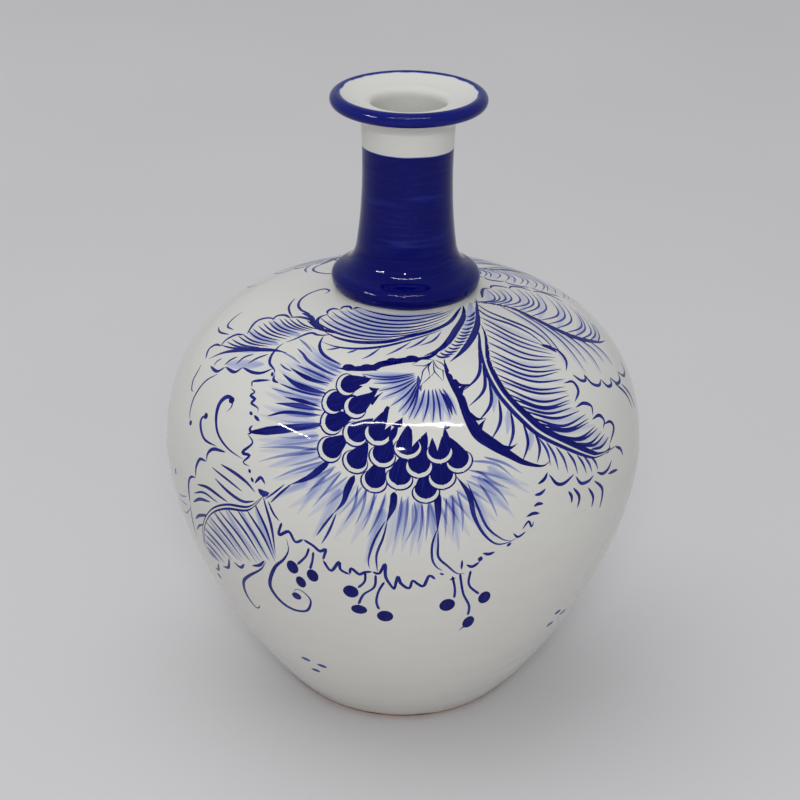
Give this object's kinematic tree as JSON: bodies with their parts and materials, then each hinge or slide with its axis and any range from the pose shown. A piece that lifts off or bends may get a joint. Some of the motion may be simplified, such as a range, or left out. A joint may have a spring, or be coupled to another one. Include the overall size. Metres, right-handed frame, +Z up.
{
  "type": "bottle vase",
  "caption": "Round-bellied glazed pottery bottle vase with a narrow neck, rolled collar and flared mouth.",
  "frame": {"origin": "centre of the standing plane under the foot ring", "axes": "+Z up along the axis the vase was thrown on; -Y is the side that carries the main painted flower"},
  "size_m": [0.19, 0.19, 0.2497],
  "materials": {
    "foot_ring": "unglazed fired clay on the standing face, tin-white glaze above it",
    "lower_body": "glossy tin-white glaze with cobalt brushwork",
    "upper_body": "glossy tin-white glaze with cobalt brushwork",
    "neck": "glossy cobalt ground on the shaft and collar, white band above",
    "mouth_lip": "glossy tin-white glaze with a cobalt rim"
  },
  "bodies": {
    "root": {"foot_ring": "foot_ring", "lower_body": "lower_body", "upper_body": "upper_body", "neck": "neck", "mouth_lip": "mouth_lip"}
  },
  "joints": []
}
